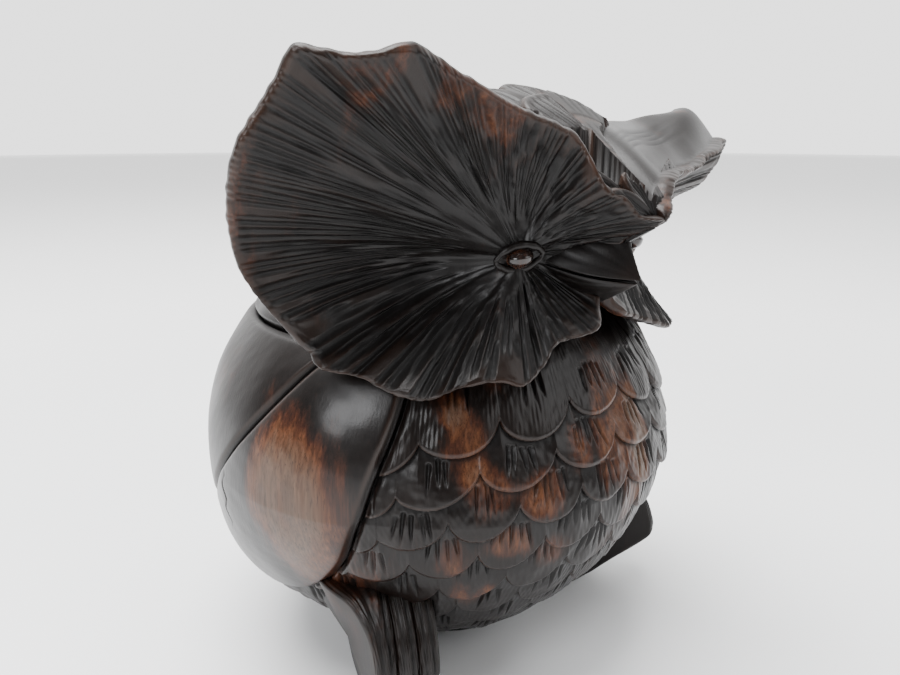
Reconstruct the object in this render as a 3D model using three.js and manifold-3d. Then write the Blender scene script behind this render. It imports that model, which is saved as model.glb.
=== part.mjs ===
// A round owl carved by hand from one block of dark, streaky wood. Millimetres, +Z up.
// The owl faces -Y, its left side is +X, and the origin is the centre of the flat base that
// the ball body stands on. The block is divided along the lines that its carver cut: the
// grooves round the wings, the edges of the feather rows, and the undercut below the head.
import * as THREE from "three";
import { ConvexGeometry } from "three/addons/geometries/ConvexGeometry.js";
import { mergeVertices } from "three/addons/utils/BufferGeometryUtils.js";
import Module from "manifold-3d";

const wasm = await Module();
wasm.setup();

// Body: a slightly squat ball, cut flat below. Its carved outer wood is SKIN thick.
const BALL_RADIUS = 46;
const BALL_HALF_HEIGHT = 42;
const BALL_CENTRE_Z = 41;
const SKIN = 5;
const GAP = 0.35;
const CORE_GAP = 0.8;
const SKIN_TOP_LAT = 36;
const SKIN_BOTTOM_LAT = -52;
const CORE_TOP_LAT = 84;

// Grooves that bound a wing, as [degrees round from the front, degrees of latitude].
const WING_FRONT = [[47, 36], [50, 22], [54, 10], [57.5, -1], [64, -15], [77, -27], [100, -35.5], [148, -41]];
const WING_BACK = [[68, 36], [74, 30], [83, 19], [96, 4], [109, -10], [126, -25], [152, -41]];
const GROOVE_WIDTH = 1.2;
const WING_START = 0.03;
const WING_END = 0.94;

// Feather rows: each row's lower edge is a chain of U-shaped scales.
// [latitude at the front, degrees between scales, degrees that the chain is turned by,
//  and how sharply the scales stay deep until the wing, which is less for the lowest rows]
const FEATHER_ROWS = [
  [20, 17, -3, 8], [10.3, 16.5, 8, 8], [0.6, 14.2, -4, 8], [-9.1, 14.2, 2, 8],
  [-18.8, 15, -4, 2.5], [-28.5, 16, 3, 1.6], [-38, 19, -4, 1.6],
];
const ROW_STEPS = [3, 1, 1, 1, 2, 4, 7, 2];
const ROW_GAP = 1.2;
const ROW_DROOP = 9;
const SCALE_DEPTH = 6.5;
const SCALE_ROUNDNESS = 0.85;
const COLUMN_SPAN = 57;
const COLUMN_LEAN = 2.5;

// Head: a dome behind two flared discs, and the brow point where the discs meet.
const DOME_CENTRE = new THREE.Vector3(0, -16, 79);
const DOME_RADII = new THREE.Vector3(33, 36, 28);
const MIDLINE_GAP = 0.2;
const EYE = new THREE.Vector3(14, -34.2, 80.9);
const EYE_FACING = new THREE.Vector3(0.5, -0.85, -0.12).normalize();
const DISC_SAG = 5;
const DISC_THICKNESS = 3.4;
const HEAD_CLEARANCE = 40;
const EYE_GAP = 0.5;
const BEAD_RADII = new THREE.Vector3(3.2, 2.2, 2.4);
const BEAD_FORWARD = 0.4;
const LID_RADIUS = 3.8;
const LID_THICKNESS = 1.2;
const LID_STRETCH = [1.2, 0.85, 1];
const LID_FORWARD = 0.9;

// A disc's rim from the brow over the ear tuft, down the cheek and back under the beak.
// Distances are outwards from the middle of the owl, forward-negative, and up.
const CHEEK = [
  [53.3, -20, 91.4], [51.7, -17, 84.5], [48.5, -15, 78], [42.5, -15, 70.3], [38.5, -21, 64.8],
  [34.6, -30, 62.5], [28.4, -37, 64.3], [20.3, -42, 64], [12.8, -42, 68.5], [4.6, -43, 69.5],
  [1, -40.5, 74], [0.4, -43.8, 82.8],
];
const RIM_RIGHT = [
  [0.4, -50.5, 86.5], [9.6, -47, 91.6], [17.7, -41, 101.1], [27.4, -39, 105.3], [36, -37.5, 109.2],
  [43, -34, 107.9], [48.3, -31, 109], [50.8, -26, 102.6], [54, -24, 97.7], ...CHEEK,
];
const RIM_LEFT = [
  [0.4, -50.5, 86.5], [8.2, -47, 92], [15, -43.5, 92.7], [27.4, -39, 92.9], [36, -37, 94.5],
  [44, -34.2, 96], [51, -31, 97.3], [52.4, -26, 102.5], [51, -22, 103.5], [54, -22.5, 96.5],
  ...CHEEK,
];

// Beak, as corners of its upper and lower halves on one side of the midline.
const BEAK_UPPER = [[0, -44.5, 83.4], [0, -46.8, 77.4], [0, -34, 83.4], [8, -39, 82], [9, -38, 78.7], [0, -34, 78]];
const BEAK_LOWER = [[0, -46, 76.4], [0, -40.5, 72.8], [0, -34, 77], [8.5, -37.5, 77.4], [5, -37, 73], [0, -34, 73]];
const BEAK_CLEARANCE = 0.8;
const BROW_UNDERSIDE_Z = 83.2;
const BEAK_ROOT_Y = -37;

// Feet: toes side by side, seen from the side as [distance back from the tip, height]. A foot
// points turn degrees outwards, stands across mm beside the owl's axis and reaches that far out.
const TOE_PROFILE = [[20, 27], [4, 26.5], [1.2, 22], [0, 15], [1.2, 11], [17, 0], [28, 0], [28, 8]];
const TOE_COUNT = 3;
const TOE_WIDTH = 3.7;
const FOOT_RIGHT = { turn: 25, across: 15.8, reach: 41.6 };
const FOOT_LEFT = { turn: 45, across: 11.2, reach: 45.3 };

// Tail: a short wedge low on the back, in the same terms.
const TAIL_PROFILE = [[30, 22], [46, 19], [50, 9], [47, 6.5], [33, 8]];
const TAIL_WIDTH = 20;

const wood = {
  dark: new THREE.MeshStandardMaterial({ color: 0x2c1a14, roughness: 0.38, metalness: 0 }),
  brown: new THREE.MeshStandardMaterial({ color: 0x4a2517, roughness: 0.42, metalness: 0 }),
  tan: new THREE.MeshStandardMaterial({ color: 0x6f452c, roughness: 0.4, metalness: 0 }),
  polished: new THREE.MeshStandardMaterial({ color: 0x33190f, roughness: 0.18, metalness: 0 }),
};

const radians = THREE.MathUtils.degToRad;
const lerp = THREE.MathUtils.lerp;

// --- closed bodies -------------------------------------------------------------------

function signedVolume(position, index) {
  const corner = [new THREE.Vector3(), new THREE.Vector3(), new THREE.Vector3()];
  let volume = 0;
  for (let i = 0; i < index.length; i += 3) {
    corner.forEach((point, k) => point.fromBufferAttribute(position, index[i + k]));
    volume += corner[0].dot(corner[1].clone().cross(corner[2])) / 6;
  }
  return volume;
}

// Shares the vertices of a surface, drops its collapsed triangles and turns it outwards.
function closeBody(source) {
  const bare = source.clone();
  bare.deleteAttribute("normal");
  bare.deleteAttribute("uv");
  const merged = mergeVertices(bare);
  const all = merged.index.array;
  const index = [];
  for (let i = 0; i < all.length; i += 3) {
    const [a, b, c] = [all[i], all[i + 1], all[i + 2]];
    if (a !== b && b !== c && c !== a) index.push(a, b, c);
  }
  if (signedVolume(merged.attributes.position, index) < 0) index.reverse();
  merged.setIndex(index);
  return merged;
}

// A block between two faces: place(u, v, depth) gives a point, at depth 0 and depth 1.
// A ring block joins u = 1 to u = 0.
function block(stepsU, stepsV, place, ring = false) {
  const points = [];
  const index = [];
  const columns = ring ? stepsU : stepsU + 1;
  const at = (i, j, depth) => (depth * (stepsV + 1) + j) * columns + (i % columns);
  const quad = (a, b, c, d) => index.push(a, b, c, a, c, d);
  for (const depth of [0, 1]) {
    for (let j = 0; j <= stepsV; j++) {
      for (let i = 0; i < columns; i++) points.push(place(i / stepsU, j / stepsV, depth));
    }
  }
  for (let i = 0; i < stepsU; i++) {
    for (let j = 0; j < stepsV; j++) {
      quad(at(i, j, 0), at(i + 1, j, 0), at(i + 1, j + 1, 0), at(i, j + 1, 0));
      quad(at(i, j + 1, 1), at(i + 1, j + 1, 1), at(i + 1, j, 1), at(i, j, 1));
    }
    quad(at(i, 0, 1), at(i + 1, 0, 1), at(i + 1, 0, 0), at(i, 0, 0));
    quad(at(i, stepsV, 0), at(i + 1, stepsV, 0), at(i + 1, stepsV, 1), at(i, stepsV, 1));
  }
  for (let j = 0; j < stepsV && !ring; j++) {
    quad(at(0, j, 0), at(0, j + 1, 0), at(0, j + 1, 1), at(0, j, 1));
    quad(at(stepsU, j, 1), at(stepsU, j + 1, 1), at(stepsU, j + 1, 0), at(stepsU, j, 0));
  }
  const geometry = new THREE.BufferGeometry().setFromPoints(points);
  geometry.setIndex(index);
  return closeBody(geometry);
}

function solid(geometry) {
  const body = closeBody(geometry);
  const vertProperties = Float32Array.from(body.attributes.position.array);
  const triVerts = Uint32Array.from(body.index.array);
  return new wasm.Manifold(new wasm.Mesh({ numProp: 3, vertProperties, triVerts }));
}

function geometryOf(manifold) {
  const mesh = manifold.getMesh();
  const geometry = new THREE.BufferGeometry();
  geometry.setAttribute("position", new THREE.BufferAttribute(mesh.vertProperties, 3));
  geometry.setIndex(new THREE.BufferAttribute(mesh.triVerts, 1));
  return geometry;
}

// Takes cutters away from a body and keeps the largest piece that is left.
function cut(geometry, ...cutters) {
  const rest = cutters.reduce((left, cutter) => left.subtract(cutter), solid(geometry));
  const bySize = rest.decompose().sort((a, b) => b.volume() - a.volume());
  return geometryOf(bySize[0]);
}

function ellipsoid(centre, radii, segments) {
  const geometry = new THREE.SphereGeometry(1, segments, Math.round(segments / 2));
  return geometry.scale(radii.x, radii.y, radii.z).translate(centre.x, centre.y, centre.z);
}

// --- ball body -----------------------------------------------------------------------

// A point of the ball at an azimuth from the front and a latitude, sunk below the surface.
function ballPoint(azimuth, latitude, sunk = 0) {
  const across = (BALL_RADIUS - sunk) * Math.cos(radians(latitude));
  const up = (BALL_HALF_HEIGHT - sunk) * Math.sin(radians(latitude));
  const turn = radians(azimuth);
  return new THREE.Vector3(across * Math.sin(turn), -across * Math.cos(turn), BALL_CENTRE_Z + up);
}

function grooveCurve(points) {
  return new THREE.SplineCurve(points.map(([azimuth, latitude]) => new THREE.Vector2(azimuth, latitude)));
}

const wingFront = grooveCurve(WING_FRONT);
const wingBack = grooveCurve(WING_BACK);

// How far round a groove lies at a latitude.
function azimuthAt(curve, latitude) {
  const samples = curve.getPoints(80);
  const next = samples.findIndex((point) => point.y <= latitude);
  if (next === 0) return samples[0].x;
  if (next < 0) return samples[samples.length - 1].x;
  const [above, below] = [samples[next - 1], samples[next]];
  return lerp(above.x, below.x, (above.y - latitude) / (above.y - below.y));
}

// The inner wood: full size at the neck and at the base, and sunk where the skin lies on it.
function torso() {
  const profile = [new THREE.Vector2(0, 0)];
  const add = (latitude, sunk) => {
    const point = ballPoint(0, latitude, sunk);
    profile.push(new THREE.Vector2(-point.y, Math.max(point.z, 0)));
  };
  const baseLatitude = THREE.MathUtils.radToDeg(Math.asin(-BALL_CENTRE_Z / BALL_HALF_HEIGHT));
  for (let k = 0; k <= 2; k++) add(lerp(baseLatitude, SKIN_BOTTOM_LAT - 0.5, k / 2), 0);
  for (let k = 0; k <= 9; k++) {
    add(lerp(SKIN_BOTTOM_LAT - 0.5, SKIN_TOP_LAT + 0.5, k / 9), SKIN + CORE_GAP);
  }
  for (let k = 0; k <= 4; k++) add(lerp(SKIN_TOP_LAT + 0.5, CORE_TOP_LAT, k / 4), 0);
  profile.push(new THREE.Vector2(0, BALL_CENTRE_Z + BALL_HALF_HEIGHT));
  return closeBody(new THREE.LatheGeometry(profile, 36).rotateX(Math.PI / 2));
}

// The smooth skin between a wing's two grooves, from the shoulder back to the tip.
function wing(side) {
  return block(7, 14, (u, v, depth) => {
    const front = wingFront.getPoint(lerp(WING_START, WING_END, v));
    const back = wingBack.getPoint(lerp(WING_START, WING_END, v));
    const azimuth = lerp(front.x, back.x - GROOVE_WIDTH, u);
    return ballPoint(side * azimuth, lerp(front.y + GROOVE_WIDTH, back.y, u), depth * SKIN);
  });
}

function mantle() {
  return block(14, 9, (u, v, depth) => {
    const latitude = lerp(SKIN_TOP_LAT, SKIN_BOTTOM_LAT, v);
    const start = azimuthAt(wingBack, latitude) + GROOVE_WIDTH / 2;
    return ballPoint(lerp(start, 360 - start, u), latitude, depth * SKIN);
  });
}

// Latitude of the lower edge of a feather row, k = 0 being the plain edge under the discs.
// share runs from -1 at the right wing to 1 at the left one.
function rowLevel(k, share) {
  if (k === 0) return SKIN_TOP_LAT;
  if (k > FEATHER_ROWS.length) return SKIN_BOTTOM_LAT;
  return FEATHER_ROWS[k - 1][0] - ROW_DROOP * Math.abs(share) ** 1.4;
}

function scallop(k, azimuth, share) {
  if (k === 0 || k > FEATHER_ROWS.length) return 0;
  const [, pitch, turned, hold] = FEATHER_ROWS[k - 1];
  const turns = (azimuth - turned) / pitch + 0.5;
  const across = 2 * (turns - Math.floor(turns)) - 1;
  const depth = SCALE_DEPTH * (1 - Math.sqrt(1 - SCALE_ROUNDNESS * across * across));
  return depth * (1 - Math.abs(share) ** hold);
}

// Near the front the columns of a row run straight down, and the outer ones follow the wing.
function featherRow(k) {
  return block(40, ROW_STEPS[k - 1], (u, v, depth) => {
    const share = 2 * u - 1;
    const wing = azimuthAt(wingFront, lerp(rowLevel(k - 1, 1), rowLevel(k, 1), v)) - GROOVE_WIDTH;
    const lean = (wing - COLUMN_SPAN) * Math.abs(share) ** COLUMN_LEAN;
    const azimuth = share * COLUMN_SPAN + Math.sign(share) * lean;
    const upper = rowLevel(k - 1, share) + scallop(k - 1, azimuth, share) - ROW_GAP / 2;
    const lower = rowLevel(k, share) + scallop(k, azimuth, share) + ROW_GAP / 2;
    return ballPoint(azimuth, lerp(upper, lower, v), depth * SKIN);
  });
}

// --- head ----------------------------------------------------------------------------

// The dish from the eye out to the rim, as a block reaching front ahead of its face and
// back behind it, both along the way that the eye looks.
function dish(side, rimPoints, front, back) {
  const rim = new THREE.CatmullRomCurve3(rimPoints.map(([x, y, z]) => new THREE.Vector3(x, y, z)), true);
  const face = (u, v) => {
    const edge = rim.getPoint(u % 1);
    const sag = (4 * v * (1 - v) * DISC_SAG * edge.distanceTo(EYE)) / EYE.distanceTo(rim.getPoint(0.5));
    return EYE.clone().lerp(edge, v).addScaledVector(EYE_FACING, -sag);
  };
  const place = (u, v, depth) => {
    const point = face(u, v).addScaledVector(EYE_FACING, depth ? -back : front);
    point.x *= side;
    return point;
  };
  return block(56, 4, place, true);
}

function halfSpace(side) {
  const size = 200;
  const box = new THREE.BoxGeometry(size, size, size);
  return solid(box.translate(side * (size / 2 - MIDLINE_GAP), 0, BALL_CENTRE_Z));
}

// A beak half from its corners, with every corner pushed outwards by swell.
function beakHalf(corners, swell = 0) {
  const points = corners.flatMap(([x, y, z]) => [new THREE.Vector3(x, y, z), new THREE.Vector3(-x, y, z)]);
  const middle = points.reduce((sum, point) => sum.add(point), new THREE.Vector3()).divideScalar(points.length);
  for (const point of points) {
    point.addScaledVector(point.clone().sub(middle).normalize(), swell);
  }
  return new ConvexGeometry(points);
}

// Turns a shape to face the way the eye looks, standing forward of the eye's place.
function atEye(geometry, side, forward) {
  const facing = EYE_FACING.clone().setX(side * EYE_FACING.x);
  const place = EYE.clone().setX(side * EYE.x).addScaledVector(facing, forward);
  const turn = new THREE.Quaternion().setFromUnitVectors(new THREE.Vector3(0, 0, 1), facing);
  return geometry.applyQuaternion(turn).translate(place.x, place.y, place.z);
}

// The space under the brow and in front of the beak's root.
function browHollow() {
  const [wide, deep, high] = [44, 40, 30];
  const box = new THREE.BoxGeometry(wide, deep, high);
  return solid(box.translate(0, BEAK_ROOT_Y - deep / 2, BROW_UNDERSIDE_Z - high / 2));
}

function bead(side, swell = 0) {
  const radii = BEAD_RADII.clone().addScalar(swell);
  return atEye(ellipsoid(new THREE.Vector3(), radii, 14), side, BEAD_FORWARD);
}

function lid(side) {
  const ring = new THREE.TorusGeometry(LID_RADIUS, LID_THICKNESS, 6, 18);
  return atEye(ring.scale(...LID_STRETCH), side, LID_FORWARD);
}

// --- feet and tail -------------------------------------------------------------------

// An upright slab with the given side profile, standing off the owl's axis at an azimuth.
function slab(profile, width, azimuth, across) {
  const outline = new THREE.Shape(profile.map(([out, up]) => new THREE.Vector2(out, up)));
  const geometry = new THREE.ExtrudeGeometry(outline, { depth: width, bevelEnabled: false });
  geometry.rotateX(Math.PI / 2).translate(0, across + width / 2, 0);
  return geometry.rotateZ(radians(azimuth - 90));
}

// --- assembly ------------------------------------------------------------------------

const owl = new THREE.Group();

function add(name, geometry, material) {
  const flat = geometry.toNonIndexed();
  flat.computeVertexNormals();
  const mesh = new THREE.Mesh(flat, material);
  mesh.name = name;
  owl.add(mesh);
}

const swollen = (extra) => new THREE.Vector3(BALL_RADIUS + extra, BALL_RADIUS + extra, BALL_HALF_HEIGHT + extra);
const ballCutter = solid(ellipsoid(new THREE.Vector3(0, 0, BALL_CENTRE_Z), swollen(GAP), 48));

add("torso", torso(), wood.dark);
for (let k = 1; k <= FEATHER_ROWS.length + 1; k++) {
  add(`breast_row_${k}`, featherRow(k), k % 2 ? wood.brown : wood.dark);
}
add("mantle", mantle(), wood.dark);

const sides = [
  { name: "right", side: -1, rim: RIM_RIGHT, foot: FOOT_RIGHT },
  { name: "left", side: 1, rim: RIM_LEFT, foot: FOOT_LEFT },
];
const beakCutters = [BEAK_UPPER, BEAK_LOWER].map((corners) => solid(beakHalf(corners, BEAK_CLEARANCE)));
const headCutters = [ballCutter, browHollow(), ...beakCutters];
for (const { name, side, rim, foot } of sides) {
  add(`wing_${name}`, wing(side), wood.tan);

  const disc = dish(side, rim, 0, DISC_THICKNESS);
  add(`face_disc_${name}`, cut(disc, halfSpace(-side), ballCutter, ...beakCutters), wood.brown);
  const faceCutter = solid(disc).add(solid(dish(side, rim, EYE_GAP, DISC_THICKNESS)));
  headCutters.push(solid(dish(side, rim, HEAD_CLEARANCE, DISC_THICKNESS + GAP)));

  add(`eye_${name}`, cut(bead(side), faceCutter), wood.polished);
  add(`eyelid_${name}`, cut(lid(side), faceCutter, solid(bead(side, GAP))), wood.dark);

  const toeProfile = TOE_PROFILE.map(([back, up]) => [foot.reach - back, up]);
  for (let toe = 1; toe <= TOE_COUNT; toe++) {
    const across = side * foot.across + (toe - (TOE_COUNT + 1) / 2) * (TOE_WIDTH + GAP);
    const slabOfWood = slab(toeProfile, TOE_WIDTH, side * foot.turn, across);
    add(`toe_${name}_${toe}`, cut(slabOfWood, ballCutter), wood.brown);
  }
}

const dome = ellipsoid(DOME_CENTRE, DOME_RADII, 28);
add("head_crown", cut(dome, ...headCutters), wood.dark);
add("beak_upper", closeBody(beakHalf(BEAK_UPPER)), wood.polished);
add("beak_lower", closeBody(beakHalf(BEAK_LOWER)), wood.polished);
add("tail", cut(slab(TAIL_PROFILE, TAIL_WIDTH, 180, 0), ballCutter), wood.dark);

export default owl;
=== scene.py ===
"""A round owl carved by hand from one block of dark, streaky wood.

Every carved surface is a dense grid made with numpy. Shapes are worked out in millimetres in
the frame of the CAD model, with the owl facing -Y, and become metres when a mesh is made.
Three values ride on each vertex for the wood's colour: "cavity" is 1 at the bottom of a cut and in
undercuts and grooves, and darkens them as painted shade; "wear" is 1 along an edge that hands have
worn and on lips and ridges, and lightens them, partly as real rubbing and partly as painted highlight;
and "tone" moves the wood's colour bands.
"""

import math

import bpy
import numpy as np
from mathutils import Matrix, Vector
from mathutils.bvhtree import BVHTree


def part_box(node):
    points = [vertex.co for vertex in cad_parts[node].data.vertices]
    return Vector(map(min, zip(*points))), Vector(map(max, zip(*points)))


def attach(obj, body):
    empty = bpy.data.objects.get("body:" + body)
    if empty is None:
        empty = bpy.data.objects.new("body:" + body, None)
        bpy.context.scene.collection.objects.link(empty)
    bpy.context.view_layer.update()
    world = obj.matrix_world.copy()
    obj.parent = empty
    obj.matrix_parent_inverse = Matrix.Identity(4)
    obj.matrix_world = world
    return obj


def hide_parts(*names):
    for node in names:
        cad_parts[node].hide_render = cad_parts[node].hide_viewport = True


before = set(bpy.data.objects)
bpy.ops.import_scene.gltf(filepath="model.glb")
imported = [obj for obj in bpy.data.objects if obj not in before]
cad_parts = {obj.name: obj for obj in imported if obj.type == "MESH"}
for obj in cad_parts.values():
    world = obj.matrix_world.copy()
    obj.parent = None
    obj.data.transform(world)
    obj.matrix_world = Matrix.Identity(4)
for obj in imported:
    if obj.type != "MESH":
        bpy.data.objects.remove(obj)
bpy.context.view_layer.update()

MM = 0.001
RIGHT, LEFT = -1, 1
SIDE_NAMES = {RIGHT: "right", LEFT: "left"}


def box_mm(node):
    """The lowest and highest corner of a CAD node in millimetres."""
    low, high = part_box(node)
    return np.array(low) / MM, np.array(high) / MM


# --- driving sizes ---------------------------------------------------------------------

BALL_TOP = box_mm("torso")[1][2]
BALL_RADIUS = box_mm("mantle")[1][1] + 0.1
BALL_HALF_HEIGHT = 0.506 * BALL_TOP
BALL_CENTRE_Z = BALL_TOP - BALL_HALF_HEIGHT
BELLY_FLATTENING = 0.17
MM_PER_DEGREE = math.radians(1) * BALL_RADIUS

# Latitudes on the ball, in degrees: where its carved skin begins and ends.
SKIN_TOP = 38.0
ROWS_TOP = 36.0
CHIN_RISE = 11.0
TOP_CUTS = 33.0
SKIN_BOTTOM = -52.0
SKIN_DEPTH = 2.75
BASE_LATITUDE = -math.degrees(math.asin(BALL_CENTRE_Z / BALL_HALF_HEIGHT))

# Grooves that bound a wing, as (degrees round from the front, latitude).
WING_FRONT = [(47, 36), (50, 22), (54, 10), (57.5, -1), (64, -15), (77, -27), (100, -35.5), (148, -41)]
WING_BACK = [(68, 36), (74, 30), (83, 19), (96, 4), (109, -10), (126, -25), (152, -41)]

# Lower edges of the feather rows: latitude at the front, degrees between scales, turn, and
# how sharply the scales stay deep until the wing.
FEATHER_ROWS = [
    (20.0, 17.0, -3.0, 8),
    (10.3, 16.5, 8.0, 8),
    (0.6, 14.2, -4.0, 8),
    (-9.1, 14.2, 2.0, 8),
    (-18.8, 15.0, -4.0, 4),
    (-28.5, 16.0, 3.0, 4),
    (-38.0, 19.0, -4.0, 4),
]
ROW_DROOP = 9.0
COLUMN_SPAN = 57.0
COLUMN_LEAN = 5.0
SCALE_DEPTH = 8.2
SCALE_ROUNDNESS = 0.93
SHINGLE_STEP = 1.25

# The dome of the head.
DOME_CENTRE = np.array([0.0, -16.0, 79.0])
DOME_RADII = np.array([33.0, 36.0, 28.0])
BROW_Y = box_mm("face_disc_right")[0][1]
BROW_Z = 86.4
CLEAR_OF_DISC = 1.6

# Rims of the face discs, as shares of the CAD disc's box: outwards, backwards, upwards.
# They run from the brow over the ear tuft, down the cheek and back under the beak.
RIM_RIGHT = [
    (0.004, 0.000, 0.506), (0.079, 0.026, 0.527), (0.123, 0.056, 0.582), (0.175, 0.090, 0.616),
    (0.200, 0.192, 0.750), (0.256, 0.218, 0.790), (0.324, 0.244, 0.817), (0.420, 0.269, 0.857),
    (0.504, 0.295, 0.907), (0.539, 0.305, 0.923), (0.636, 0.321, 0.980), (0.678, 0.346, 0.993),
    (0.740, 0.385, 0.972), (0.801, 0.423, 0.965), (0.859, 0.462, 0.977), (0.898, 0.515, 0.982),
    (0.908, 0.577, 0.928), (0.939, 0.628, 0.849), (0.978, 0.646, 0.783), (0.993, 0.679, 0.733),
    (0.984, 0.782, 0.612), (0.954, 0.859, 0.466), (0.894, 0.910, 0.325), (0.785, 0.910, 0.157),
    (0.747, 0.859, 0.088), (0.742, 0.795, 0.050), (0.696, 0.731, 0.035), (0.672, 0.650, 0.030),
    (0.637, 0.500, -0.010), (0.580, 0.423, -0.015), (0.524, 0.346, 0.025), (0.430, 0.269, 0.036),
    (0.372, 0.218, 0.018), (0.294, 0.218, 0.063), (0.234, 0.218, 0.125), (0.081, 0.192, 0.147),
    (0.020, 0.256, 0.242), (0.008, 0.180, 0.420),
]
RIM_LEFT = [
    (0.004, 0.000, 0.577), (0.071, 0.038, 0.649), (0.149, 0.090, 0.709), (0.275, 0.179, 0.726),
    (0.506, 0.295, 0.731), (0.665, 0.346, 0.769), (0.814, 0.418, 0.805), (0.944, 0.500, 0.837),
    (0.993, 0.546, 0.796), (1.000, 0.577, 0.733), (1.000, 0.621, 0.668), (0.989, 0.674, 0.603),
    (0.968, 0.795, 0.536), (0.935, 0.859, 0.445), (0.898, 0.910, 0.349), (0.786, 0.910, 0.173),
    (0.743, 0.808, 0.072), (0.697, 0.731, 0.041), (0.639, 0.526, -0.005), (0.526, 0.385, 0.026),
    (0.424, 0.308, 0.041), (0.349, 0.262, 0.067), (0.257, 0.256, 0.108), (0.145, 0.244, 0.156),
    (0.071, 0.231, 0.192), (0.020, 0.256, 0.276), (0.007, 0.179, 0.478),
]

# Behind the upper rim a disc is thick. Its top slopes back by this much, in millimetres
# outwards, backwards and upwards, between these shares of the way round the rim.
SHELF = {RIGHT: (0.0, 9.0, -1.5), LEFT: (5.0, 15.5, 7.7)}
SHELF_AT_EAR = {RIGHT: (0.0, 6.0, -1.5), LEFT: (-1.0, 8.0, 6.3)}
SHELF_SPAN = (0.0, 0.03, 0.30, 0.335)
SHELF_SWELL = {RIGHT: (0.0, 0.0), LEFT: (0.6, 2.6)}

DISC_THICKNESS = 3.2
DISC_SAG = 5.5
RIM_LENGTH = 195.0
SHORT_STROKES = 380
# Flat knife facets on the bevel: share of the way round, half width and depth.
RIM_FACETS = [(0.235, 0.02, 1.3), (0.315, 0.014, 1.0), (0.60, 0.008, 0.9), (0.685, 0.01, 0.8)]
EYE_FACING = np.array([0.5, -0.85, -0.12]) / np.linalg.norm([0.5, -0.85, -0.12])

# The beak.
BEAK_TIP = np.array([0.0, box_mm("beak_upper")[0][1] + 0.1, box_mm("beak_upper")[0][2] - 0.2])
MOUTH_CORNER = np.array([8.8, -34.4, 79.6])

# A toe from the side, as (distance back from its tip, height), and where each foot stands:
# degrees it points outwards, its distance beside the owl's axis and how far out it reaches.
TOE_PROFILE = [
    (20, 25.5), (9, 26), (4.8, 24), (1.8, 20.5), (0.4, 17), (0, 14.4), (1.0, 11.6), (8, 6.4),
    (16.4, 0.4), (19, 0), (27, 0), (28, 5), (24, 16),
]
TOES = 3
HAUNCH_FLARE = 7.0
TOE_PITCH = 3.6
TAIL_WIDTH = 20.0
FEET = {RIGHT: (25, 17.2, 41.6), LEFT: (45, 10.4, 47.0)}
TAIL_PROFILE = [
    (31, 22), (40, 22.5), (45.5, 19.5), (49.4, 11.5), (48.8, 7.4), (46, 6.8), (39, 7.8), (33, 9),
]

# The camera, in metres, degrees and shares of the sensor, and the table.
CAMERA_PLACE = Vector((-98.7, -112.9, 100.0)) * MM
CAMERA_TILT, CAMERA_TURN = 74.6, -42.0
FOCAL_SHARE = 0.8556
FLOOR_RADIUS = 3.0

# The pale wall: the way it lies from the owl, its brightness, and that of the rest of the room.
WHITE_WALL = (0.60, 0.72, 0.35)
WALL_SHADE = (2.40, 2.40, 2.40)
ROOM_SHADE = (0.20, 0.20, 0.205)


# --- small maths -----------------------------------------------------------------------

def lerp(a, b, t):
    return a + (b - a) * t


def smooth_step(low, high, x):
    t = np.clip((x - low) / (high - low), 0, 1)
    return t * t * (3 - 2 * t)


def bump(x, width):
    return np.exp(-((x / width) ** 2))


def unit(v):
    v = np.asarray(v, float)
    return v / np.linalg.norm(v, axis=-1, keepdims=True)


def ripple(a, b, size, seed):
    """Soft unevenness between -1 and 1 over a surface, with hollows about size across."""
    waves = np.random.default_rng(seed)
    total = np.zeros(np.broadcast(a, b).shape)
    for _ in range(7):
        turn, phase = waves.uniform(0, math.tau, 2)
        pace = math.tau / (size * waves.uniform(0.7, 1.6))
        total += np.sin((a * math.cos(turn) + b * math.sin(turn)) * pace + phase)
    return total / 4


def spline(points, count, closed=False):
    """A Catmull-Rom curve through points, sampled at evenly spaced parameters."""
    points = np.array(points, float)
    spans = len(points) if closed else len(points) - 1
    if closed:
        padded = np.vstack([points[-1:], points, points[:2]])
        t = np.linspace(0, spans, count, endpoint=False)
    else:
        padded = np.vstack([2 * points[0] - points[1], points, 2 * points[-1] - points[-2]])
        t = np.linspace(0, spans, count)
    i = np.minimum(t.astype(int), spans - 1)
    f = (t - i)[:, None]
    p0, p1, p2, p3 = (padded[i + k] for k in range(4))
    return 0.5 * (2 * p1 + (p2 - p0) * f + (2 * p0 - 5 * p1 + 4 * p2 - p3) * f**2
                  + (3 * p1 - p0 - 3 * p2 + p3) * f**3)


def even_spacing(points, count, closed=False):
    """Points moved along their own line until they are evenly spaced."""
    line = np.vstack([points, points[:1]]) if closed else points
    steps = np.linalg.norm(np.diff(line, axis=0), axis=1)
    run = np.concatenate([[0], np.cumsum(steps)])
    where = np.linspace(0, run[-1], count, endpoint=not closed)
    return np.stack([np.interp(where, run, line[:, k]) for k in range(line.shape[1])], axis=1)


# --- meshes ----------------------------------------------------------------------------

def quads_between(rows, columns, wrap=False):
    """Faces of a grid of vertices numbered row by row; wrap joins the last column to the first."""
    across = np.arange(columns if wrap else columns - 1)
    down = np.arange(rows - 1)[:, None] * columns
    nxt = (across + 1) % columns
    below = down + columns
    corners = [down + across, down + nxt, below + nxt, below + across]
    return np.stack(corners, -1).reshape(-1, 4)


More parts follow.
